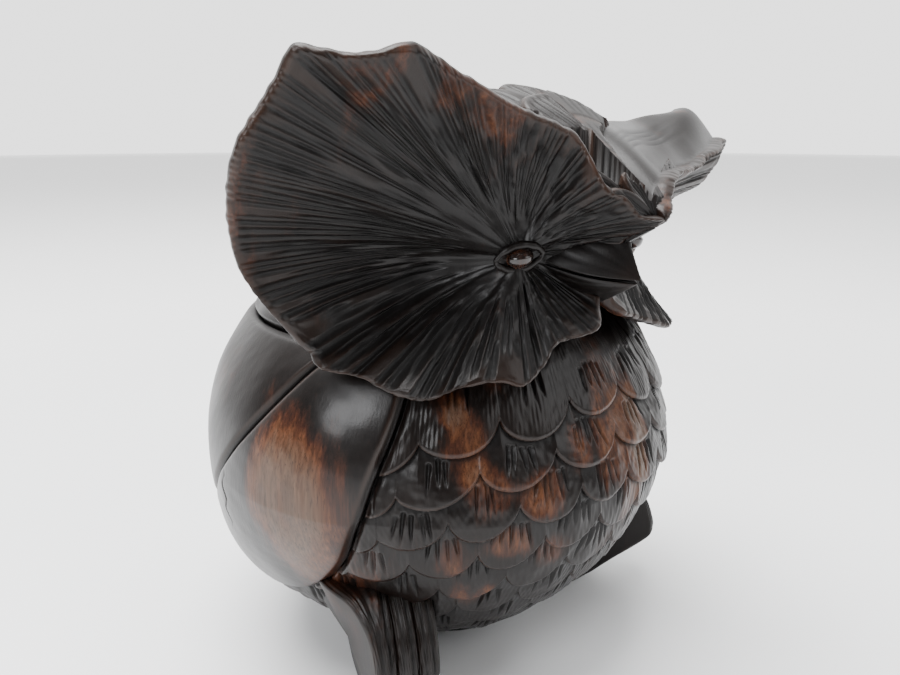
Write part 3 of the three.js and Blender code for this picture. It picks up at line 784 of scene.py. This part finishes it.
def face_disc(side):
    """A flared disc: fluted dish in front, bevelled rim, smooth back."""
    columns = 1120
    rim = disc_rim(side, columns)
    s = np.concatenate([np.linspace(0.03, 0.93, 42), np.linspace(0.945, 1.0, 7)])[:, None]
    s = s + np.zeros((1, columns))
    bare, angle, length = dish(side, rim, s)
    depth = disc_cuts(side, columns, s, angle)
    share = np.arange(columns) / columns
    run = share * RIM_LENGTH
    mm_out = (1 - s) * length
    facets = np.zeros(columns)
    for at, wide, amount in RIM_FACETS:
        facets += amount * bump(share - at, wide)
    bevel_width = 0.7 + 1.2 * facets
    bevel = (0.5 + facets) * np.clip(1 - mm_out / bevel_width, 0, 1) ** 1.3
    tool = 0.09 * ripple(run[None, :] * s, mm_out, 3.0, 30 + side)
    scallops = 0.10 * ripple(run[None, :], 0 * s, 9.0, 50 + side) * smooth_step(0.6, 1, s)
    front = bare - facing(side) * (depth + bevel + tool + scallops)[..., None]

    edge = bare[-1] - facing(side) * DISC_THICKNESS
    shelf = smooth_step(*SHELF_SPAN[:2], share) * (1 - smooth_step(*SHELF_SPAN[2:], share))
    near_ear = smooth_step(0.19, 0.30, share)[:, None]
    slope = lerp(np.array(SHELF[side]), np.array(SHELF_AT_EAR[side]), near_ear)
    ridge_line = edge + shelf[:, None] * slope * [side, 1, 1]
    wall_share = np.linspace(0, 1, 7)[1:-1, None, None]
    outwards = unit(rim - eye_centre(side))
    puff = 0.35 * np.sin(np.pi * wall_share) + 0.12 * ripple(run, 0 * run, 2.5, 61)[None, :, None]
    wall = lerp(front[-1], edge, wall_share) + outwards * puff
    top_share = np.linspace(0, 1, 23)[:-1, None, None]
    swell_height = shelf[:, None] * lerp(*SHELF_SWELL[side], near_ear)
    swell = np.sin(np.pi * top_share) * swell_height * np.array([0, 0, 1.0])
    top = lerp(edge, ridge_line, top_share) + swell

    back_s = np.linspace(1.0, 0.12, 12)[:, None] + np.zeros((1, columns))
    behind, _, _ = dish(side, rim, back_s)
    long_cuts = np.zeros_like(back_s)
    across_top = top_share[..., 0] + 0.5 * (share - 0.15)
    top_cuts = sum(bump(across_top - at, 0.025) for at in (0.42, 0.52, 0.60, 0.68))
    top_cuts = top_cuts * smooth_step(0.03, 0.10, share) * (1 - smooth_step(0.19, 0.26, share))
    top[..., 2] -= 0.35 * top_cuts
    strokes = np.random.default_rng(71 + side)
    for _ in range(34):
        offset = np.abs(rim_offset(columns, strokes.uniform(0, columns)))
        blade = np.maximum(1 - offset / (columns * strokes.uniform(0.0012, 0.0022)), 0)
        begin, reach = strokes.uniform(0.25, 0.6), strokes.uniform(0.2, 0.35)
        window = smooth_step(begin, begin + 0.06, back_s)
        window = window * (1 - smooth_step(begin + reach - 0.1, begin + reach, back_s))
        long_cuts = np.maximum(long_cuts, blade * window)
    wavy = 0.25 * ripple(run[None, :], back_s * 8, 8.0, 80 + side)
    behind = behind - facing(side) * (DISC_THICKNESS - 0.35 * long_cuts + wavy * (1 - back_s))[..., None]
    settle = smooth_step(0.35, 1.0, back_s)[..., None]
    behind = behind + (ridge_line - edge)[None] * settle
    wall = np.concatenate([wall, top])

    loops = np.concatenate([front, wall, behind])
    loops[..., 0] = side * np.maximum(side * loops[..., 0], 0.12)
    # Painted shade in the flutes, in the cuts on the top and back and in the hollow round the eye; painted
    # highlight on the ridges between flutes; the rim edge lighter, partly real rubbing and partly painted
    # highlight. The warm patches are the wood's own colour.
    front_cavity = np.clip(depth / 0.5, 0, 1) * 0.85 + 0.35 * bump(s, 0.35)
    eye_hollow_shade = -0.12 * bump(s, 0.75)
    warm = 0.20 * bump(angle - 75, 40) * smooth_step(0.35, 0.9, s)
    warm = warm + 0.18 * bump(angle, 30) * smooth_step(0.5, 1, s)
    ridge = np.clip(1 - depth / 0.18, 0, 1) * smooth_step(0.3, 1, s) * 0.28
    bare_wall = np.zeros((5, columns))
    values = {
        "cavity": np.concatenate([
            np.clip(front_cavity, 0, 1), bare_wall + 0.1, 0.7 * top_cuts, 0.6 * long_cuts,
        ]),
        "wear_and_highlight": np.concatenate([
            np.clip(ridge + 0.45 * bump(mm_out - 0.3, 0.45), 0, 1),
            bare_wall + 0.22,
            0.05 * (1 - top_cuts),
            0.5 * bump(1 - back_s, 0.02) + 0.05,
        ]),
        "tone": np.concatenate([
            TONE_BASE + eye_hollow_shade + warm,
            bare_wall + 0.015,
            TONE_BASE + 0 * top_cuts,
            np.full_like(back_s, TONE_BASE - 0.02),
        ]),
    }
    name = SIDE_NAMES[side]
    piece = loft(f"carved_face_disc_{name}", loops, values, WOOD, turned_out=side == RIGHT)
    finish_piece(piece, "rosewood", f"face_disc_{name}")
    return front[::2, ::4], top[:, share < SHELF_SPAN[3]][::2, ::4]


# --- head dome -------------------------------------------------------------------------

def ray_tree(grid, wrap):
    """A ray-casting tree over a coarse grid."""
    rows, columns, _ = grid.shape
    faces = quads_between(rows, columns, wrap)
    return BVHTree.FromPolygons([tuple(p) for p in grid.reshape(-1, 3)], [tuple(f) for f in faces.tolist()])


def push_behind(points, chosen, tree, ahead):
    """Moves the chosen points that stand ahead of a surface to a little behind it."""
    for i in np.nonzero(chosen)[0]:
        hit = tree.ray_cast(Vector(points[i] + ahead * 80), Vector(-ahead))[0]
        if hit is not None and np.dot(points[i] - np.array(hit), ahead) > -CLEAR_OF_DISC:
            points[i] = np.array(hit) - ahead * CLEAR_OF_DISC


def head_dome(faces):
    """The crown: rings of long feathers that start at the brow and point back."""
    brow = unit((np.array([0.0, BROW_Y, BROW_Z + 0.2]) - DOME_CENTRE) / DOME_RADII)
    over = unit(np.cross([1.0, 0, 0], brow))
    over = over if over[2] > 0 else -over
    beside = np.cross(brow, over)
    turn_share = np.linspace(-1, 1, 380, endpoint=False)
    gamma = math.pi * np.sign(turn_share) * np.abs(turn_share) ** 1.25
    beta = np.radians(np.concatenate([np.linspace(2, 128, 225), np.linspace(130, 165, 14)]))
    beta, gamma = beta[:, None], gamma[None, :]
    around = np.cos(gamma)[..., None] * over + np.sin(gamma)[..., None] * beside
    aim = np.cos(beta)[..., None] * brow + np.sin(beta)[..., None] * around

    reach = 32.0
    degrees = np.degrees(beta)
    mm_along = np.radians(degrees) * reach + 0 * gamma
    rings = [(20, 9), (37, 13), (54, 15), (71, 18), (88, 18), (105, 17), (122, 15)]
    sunk = np.full(mm_along.shape, 0.0)
    shade = np.zeros_like(sunk)
    wear_and_highlight = np.zeros_like(sunk)
    filled = np.zeros(sunk.shape, bool)
    upper_edge = np.zeros_like(sunk)
    for ring, (edge_at, count) in enumerate(rings):
        across = (gamma / math.tau * count + 0.5 * (ring % 2)) % 1 * 2 - 1
        number = np.floor(gamma / math.tau * count + 0.5 * (ring % 2))
        point = 5.2 * (1 - np.sqrt(np.maximum(1 - 0.9 * across**2, 0)))
        jitter = 0.7 * np.sin(number * 3.3 + ring)
        edge = edge_at * math.radians(1) * reach - point + jitter
        inside = (mm_along <= edge) & ~filled
        below_top = mm_along - upper_edge
        above_lip = edge - mm_along
        long_way = np.maximum(edge - upper_edge, 3)
        rise = np.clip(below_top / long_way, 0, 1)
        own = 1.5 * (1 - rise) + 0.45 * across**2 * rise + 0.45 * bump(above_lip, 0.5)
        wide_mm = math.tau * reach * np.sin(beta) / count
        x = across / 2 * wide_mm
        cuts = np.zeros_like(own)
        for j in range(5):
            offset = (j - 2) * 0.155 * wide_mm + 0.2 * np.sin(number * 2.1 + j)
            window = smooth_step(0.4, 1.6, below_top) * smooth_step(0.8, 2.8, above_lip)
            cuts = np.maximum(cuts, np.maximum(1 - np.abs(x - offset) / 0.55, 0) * window)
        own = own + 0.42 * cuts
        sunk = np.where(inside, own, sunk)
        # Painted shade under each ring's upper edge and in the cuts; a lighter lip, partly real rubbing and
        # partly painted highlight.
        shade = np.where(inside, np.maximum(bump(below_top, 0.7), 0.7 * cuts), shade)
        wear_and_highlight = np.where(inside, 0.7 * bump(above_lip - 0.3, 0.4) + 0.12 * (1 - cuts), wear_and_highlight)
        filled |= inside
        upper_edge = np.where(mm_along > edge, edge, upper_edge)
        upper_edge = np.where(filled, upper_edge, edge)
    sunk = np.where(filled, sunk, 1.5)
    sunk = sunk + 0.10 * ripple(mm_along, gamma * 30, 5.5, 90)
    points = DOME_CENTRE + aim * (DOME_RADII - sunk[..., None])

    beside_beak = np.maximum(np.abs(points[..., 0]) - 8, 0)
    under_brow = np.clip(BROW_Y + (BROW_Z - points[..., 2]) * 1.8 + beside_beak, BROW_Y, -31)
    pulled_back = np.maximum(points[..., 1], under_brow)
    points[..., 1] = np.where(points[..., 2] < BROW_Z, pulled_back, points[..., 1])
    chin = smooth_step(78, 72, points[..., 2])
    points[..., 1] = np.maximum(points[..., 1], lerp(BROW_Y - 5, -29.0, chin))
    brow_slope = 88.2 + 0.62 * (points[..., 1] - BROW_Y) + 12 * smooth_step(2, -12, points[..., 0])
    points[..., 2] = np.minimum(points[..., 2], brow_slope)
    flat = points.reshape(-1, 3)
    for side, (dish_grid, shelf_grid) in faces.items():
        up = np.array([0.0, 0.0, 1.0])
        near = (flat[:, 1] < 0) & (side * flat[:, 0] > -2)
        push_behind(flat, near, ray_tree(dish_grid, True), facing(side))
        push_behind(flat, near, ray_tree(shelf_grid, False), up)
    values = {
        "cavity": np.clip(shade, 0, 1),
        "wear_and_highlight": np.clip(wear_and_highlight, 0, 1),
        "tone": TONE_BASE - 0.03 + 0.04 * ripple(mm_along, gamma * 20, 20, 95),
    }
    piece = loft("carved_head_crown", flat.reshape(points.shape), values, WOOD, turned_out=False)
    return finish_piece(piece, "rosewood", "head_crown")


# --- eyes and beak ---------------------------------------------------------------------

def eye_axes(side):
    """Across, up and out directions at an eye, tipped down a little towards the beak."""
    out = facing(side)
    across = unit(np.cross([0, 0, 1.0], out) * side)
    tip = math.radians(-8 * side)
    up = unit(np.cross(out, across) * side)
    up = up if up[2] > 0 else -up
    return across * math.cos(tip) + up * math.sin(tip) * side, up * math.cos(tip), out


def eyeball(side):
    """The polished bead: an ellipsoid with a faint raised band across it."""
    across, up, out = eye_axes(side)
    polar = np.linspace(0.06, math.pi - 0.06, 40)[:, None]
    turn = np.linspace(0, math.tau, 72, endpoint=False)[None, :]
    x = 2.1 * np.sin(polar) * np.cos(turn)
    y = 1.55 * np.sin(polar) * np.sin(turn)
    z = 1.8 * np.cos(polar) + 0 * turn + 0.12 * bump(y - 0.4, 0.3) * (np.cos(polar) > 0)
    centre = eye_centre(side) + out * 0.1
    loops = centre + x[..., None] * across + y[..., None] * up + z[..., None] * out
    flip = np.dot(np.cross(across, up), out) > 0
    name = SIDE_NAMES[side]
    values = {"tone": 0.02, "wear_and_highlight": 0.1}
    piece = loft(f"carved_eye_{name}", loops, values, POLISHED_WOOD, turned_out=flip)
    return finish_piece(piece, "rosewood_polished", f"eye_{name}")


def eyelid(side):
    """The raised almond rim round the bead, as a closed tube of changing thickness."""
    across, up, out = eye_axes(side)
    turn = np.linspace(0, math.tau, 160, endpoint=False)[:, None]
    ring = np.linspace(0, math.tau, 28, endpoint=False)[None, :]
    pinch = np.abs(np.cos(turn)) ** 3
    long_axis, short_axis = 3.3, 1.95
    cx = long_axis * np.cos(turn) * (1 + 0.10 * pinch)
    cy = short_axis * np.sin(turn) * (1 - 0.15 * pinch)
    thick = 0.68 - 0.28 * pinch + 0.05 * np.sin(9 * turn)
    nx, ny = np.cos(turn), np.sin(turn) * 1.3
    length = np.hypot(nx, ny)
    x = cx + thick * np.cos(ring) * nx / length
    y = cy + thick * np.cos(ring) * ny / length
    z = thick * np.sin(ring) - 0.1 + 0.2 * np.sin(turn)
    centre = eye_centre(side)
    loops = centre + x[..., None] * across + y[..., None] * up + z[..., None] * out
    rows, columns = x.shape
    sides = quads_between(rows, columns, wrap=True)
    last = (rows - 1) * columns + np.arange(columns)
    nxt = (np.arange(columns) + 1) % columns
    join = np.stack([last, (rows - 1) * columns + nxt, nxt, np.arange(columns)], 1)
    faces = np.vstack([sides, join])
    if np.dot(np.cross(across, up), out) > 0:
        faces = faces[:, ::-1]
    # Painted shade on the back half of the lid, where it meets the dish.
    groove = (np.sin(ring) < -0.2) + 0.0 * turn
    values = {"cavity": 0.6 * groove.ravel(), "wear_and_highlight": 0.04, "tone": -0.14}
    name = SIDE_NAMES[side]
    piece = build(f"carved_eyelid_{name}", loops.reshape(-1, 3), [faces], values, DARK_WOOD)
    return finish_piece(piece, "rosewood_dark", f"eyelid_{name}")


def beak_half(name, node, middle, corner_drop, inner_z, bulge):
    """Half a beak: a wedge from the mouth corners to the tip, round the given middle line."""
    count = 70
    ridge = spline(middle, count)
    t = np.linspace(0, 1, count)[:, None]
    corner = MOUTH_CORNER - [0, 0, corner_drop]
    tip = ridge[-1]
    mouth = {}
    for side in (RIGHT, LEFT):
        start = corner * [side, 1, 1]
        line = lerp(start, tip, t)
        line[:, 2:] -= 0.5 * np.sin(np.pi * t)
        line[:, 0:1] += side * 0.9 * np.sin(np.pi * t)
        mouth[side] = line
    share = np.linspace(0, 1, 22)[None, :, None]
    flanks = {}
    for side in (RIGHT, LEFT):
        flank = lerp(ridge[:, None], mouth[side][:, None], share)
        puff = bulge * np.sin(np.pi * share) * (1 - t[:, None]) ** 0.6
        flutes = np.maximum(np.sin(share * 26 + 3 * t[:, None]), 0) ** 2 * (1 - t[:, None]) ** 1.5
        puff = puff - 0.22 * flutes
        flanks[side] = flank + puff * unit([side * 0.75, -0.65, 0.0])
    inner = np.stack([0 * t[:, 0], lerp(-33.0, tip[1], t[:, 0] ** 1.2), lerp(inner_z, tip[2], t[:, 0])], 1)
    across = np.linspace(0, 1, 10)[1:, None]
    under_right = lerp(mouth[RIGHT][:, None], inner[:, None], across[None])
    under_left = lerp(inner[:, None], mouth[LEFT][:, None], across[None])
    loops = np.concatenate([flanks[RIGHT], under_right, under_left[:, :-1], flanks[LEFT][:, :0:-1]], axis=1)
    loops = lerp(loops, loops.mean(1, keepdims=True), 0.94 * smooth_step(0.985, 1.0, t)[..., None])
    values = {
        "cavity": 0.0,
        "wear_and_highlight": 0.25 * smooth_step(0.6, 1.0, t) + np.zeros(loops.shape[:2]),
        "tone": -0.12,
    }
    piece = loft(name, loops, values, DARK_WOOD, turned_out=corner_drop == 0)
    return finish_piece(piece, "rosewood_dark", node)


def beak():
    upper_ridge = [(0, -38.0, 87.0), (0, -43.2, 84.2), (0, -44.9, 81.4), BEAK_TIP]
    beak_half("carved_beak_upper", "beak_upper", upper_ridge, 0.0, 79.0, 0.3)
    chin = [(0, -38.0, 72.0), (0, -39.8, 72.9), (0, -43.0, 74.6), BEAK_TIP - [0, -0.5, 0.6]]
    beak_half("carved_beak_lower", "beak_lower", chin, 0.25, 77.6, 1.2)


# --- feet and tail ---------------------------------------------------------------------

def slab_body(name, profile, width, azimuth, across, flutes, rounding, seed, flare=0.0):
    """A slab standing off the owl's axis, rounded at its sides and fluted along its length.

    With flare, the side it names spreads outwards towards the ball, like a haunch.
    """
    cuts = np.random.default_rng(seed)
    outline = even_spacing(spline(profile, 600, closed=True), 220, closed=True)
    edge = unit(np.roll(outline, -1, 0) - np.roll(outline, 1, 0))
    normal = np.stack([edge[:, 1], -edge[:, 0]], 1)
    area = np.sum(outline[:, 0] * np.roll(outline[:, 1], -1) - outline[:, 1] * np.roll(outline[:, 0], -1))
    normal = normal if area > 0 else -normal
    w = np.sin(np.linspace(-np.pi / 2, np.pi / 2, 30 + 26 * flutes))[:, None]
    inset = rounding * (1 - np.sqrt(np.maximum(1 - w**2, 0)))
    depth = np.zeros((len(w), len(outline)))
    front = smooth_step(0.35, 0.75, (outline[:, 0] - outline[:, 0].min()) / np.ptp(outline[:, 0]))
    for j in range(flutes):
        at = lerp(-0.75, 0.75, (j + 0.5) / flutes) + cuts.normal(0, 0.04)
        sway = 0.05 * np.sin(outline[:, 1] * cuts.uniform(0.2, 0.5) + cuts.uniform(0, 6))
        blade = np.maximum(1 - np.abs(w - at - sway) / (0.6 / flutes), 0)
        depth = np.maximum(depth, blade * cuts.uniform(0.5, 1))
    depth = depth * front
    texture = 0.10 * ripple(w * width * 2, outline[:, 1][None, :] * 0.3, 1.1, seed)
    pull = inset + 0.45 * depth + texture
    shape = outline[None] - normal[None] * pull[..., None]
    turn = math.radians(azimuth)
    away = np.array([math.sin(turn), -math.cos(turn), 0])
    beside = np.array([math.cos(turn), math.sin(turn), 0])
    sideways = across + w * width / 2
    if flare:
        behind_tip = outline[:, 0].max() - shape[..., 0]
        outer_half = smooth_step(-0.2, 1.0, w * np.sign(flare))
        spread = smooth_step(0, 16, behind_tip) * smooth_step(4, 22, shape[..., 1])
        sideways = sideways + flare * outer_half * spread
    else:
        sideways = sideways + np.zeros(shape.shape[:2])
    loops = shape[..., :1] * away + sideways[..., None] * beside + shape[..., 1:] * np.array([0, 0, 1.0])
    loops[..., 2] = np.maximum(loops[..., 2], 0.0)
    # Painted shade in the flutes and along the slab's rounded sides; lighter fronts, partly real rubbing
    # and partly painted highlight.
    values = {
        "cavity": np.clip(0.8 * depth + 0.5 * (np.abs(w) > 0.93), 0, 1),
        "wear_and_highlight": 0.12 * (1 - depth) * front,
        "tone": TONE_BASE - 0.02 + 0.02 * math.sin(seed),
    }
    return loft(name, loops, values, WOOD, turned_out=area < 0)


def foot(side):
    name = SIDE_NAMES[side]
    turned, beside, reach = FEET[side]
    profile = [(reach - back, up) for back, up in TOE_PROFILE]
    for toe in range(1, TOES + 1):
        across = side * beside + (toe - (TOES + 1) / 2) * TOE_PITCH
        is_outer = toe == (1 if side == RIGHT else TOES)
        flare = side * HAUNCH_FLARE if is_outer else 0.0
        seed = 200 + toe + 10 * side
        piece = slab_body(f"carved_toe_{name}_{toe}", profile, TOE_PITCH, side * turned, across,
                          flutes=2, rounding=1.2, seed=seed, flare=flare)
        finish_piece(piece, "rosewood", f"toe_{name}_{toe}")


def tail():
    piece = slab_body("carved_tail", TAIL_PROFILE, TAIL_WIDTH, 180, 0.0,
                      flutes=7, rounding=2.2, seed=300)
    finish_piece(piece, "rosewood", "tail")


# --- stage -----------------------------------------------------------------------------

def camera():
    data = bpy.data.cameras.new("camera")
    data.sensor_width = 36.0
    data.lens = FOCAL_SHARE * data.sensor_width
    data.clip_start = 0.005
    item = bpy.data.objects.new("camera", data)
    item.location = CAMERA_PLACE
    item.rotation_euler = (math.radians(CAMERA_TILT), 0, math.radians(CAMERA_TURN))
    bpy.context.scene.collection.objects.link(item)
    bpy.context.scene.camera = item


def floor():
    """A wide round table top, a little paler further away."""
    rings = np.concatenate([[0.02], np.linspace(0.05, 0.6, 12), np.linspace(0.8, FLOOR_RADIUS, 8)]) / MM
    turn = np.linspace(0, math.tau, 96, endpoint=False)
    x = rings[:, None] * np.cos(turn)
    y = rings[:, None] * np.sin(turn)
    loops = np.stack([x, y, np.zeros_like(x)], -1)
    loops = np.concatenate([loops, loops[::-1] - [0, 0, 20.0]])
    material = bpy.data.materials.new("table_top")
    material.use_nodes = True
    n = Nodes(material)
    place = n.add("ShaderNodeTexCoord").outputs["Object"]
    distance = n.add("ShaderNodeVectorMath", operation="LENGTH")
    n.link(place, distance.inputs[0])
    colour = n.ramp(distance.outputs["Value"], [(0.20, (0.82, 0.825, 0.83)), (0.32, (0.90, 0.90, 0.90))])
    shader = n.add("ShaderNodeBsdfPrincipled")
    n.link(colour, shader.inputs["Base Color"])
    shader.inputs["Roughness"].default_value = 0.35
    shader.inputs["Specular IOR Level"].default_value = 0.3
    n.link(shader.outputs[0], n.add("ShaderNodeOutputMaterial").inputs["Surface"])
    item = loft("table", loops, {}, material, turned_out=False)


def area_light(name, place, aim, size, power, colour=(1, 1, 1)):
    data = bpy.data.lights.new(name, "AREA")
    data.shape = "DISK"
    data.size = size
    data.energy = power
    data.color = colour
    item = bpy.data.objects.new(name, data)
    item.location = place
    item.rotation_euler = (Vector(aim) - Vector(place)).to_track_quat("-Z", "Y").to_euler()
    bpy.context.scene.collection.objects.link(item)


def lights():
    world = bpy.data.worlds.new("studio")
    world.use_nodes = True
    n = Nodes(world)
    towards_wall = n.add("ShaderNodeVectorMath", operation="DOT_PRODUCT")
    n.link(n.add("ShaderNodeTexCoord").outputs["Generated"], towards_wall.inputs[0])
    towards_wall.inputs[1].default_value = WHITE_WALL
    stops = [(0.0, ROOM_SHADE), (0.12, ROOM_SHADE), (0.55, WALL_SHADE)]
    shade = n.ramp(towards_wall.outputs["Value"], stops)
    background = n.add("ShaderNodeBackground")
    n.link(shade, background.inputs["Color"])
    n.link(background.outputs[0], n.add("ShaderNodeOutputWorld").inputs["Surface"])
    bpy.context.scene.world = world
    middle = (0, 0, 0.06)
    area_light("overhead", (-0.12, 0.12, 0.80), middle, 0.70, 19.5)
    area_light("left_window", (-0.62, -0.10, 0.42), middle, 0.30, 3.2, (0.97, 0.98, 1.0))
    area_light("front_fill", (0.30, -0.80, 0.55), middle, 0.70, 4.0)


# --- build -----------------------------------------------------------------------------

torso()
mantle()
for row in range(1, len(FEATHER_ROWS) + 2):
    feather_row(row)
dishes = {}
for which in (RIGHT, LEFT):
    wing(which)
    dishes[which] = face_disc(which)
    eyeball(which)
    eyelid(which)
    foot(which)
head_dome(dishes)
beak()
tail()
camera()
floor()
lights()
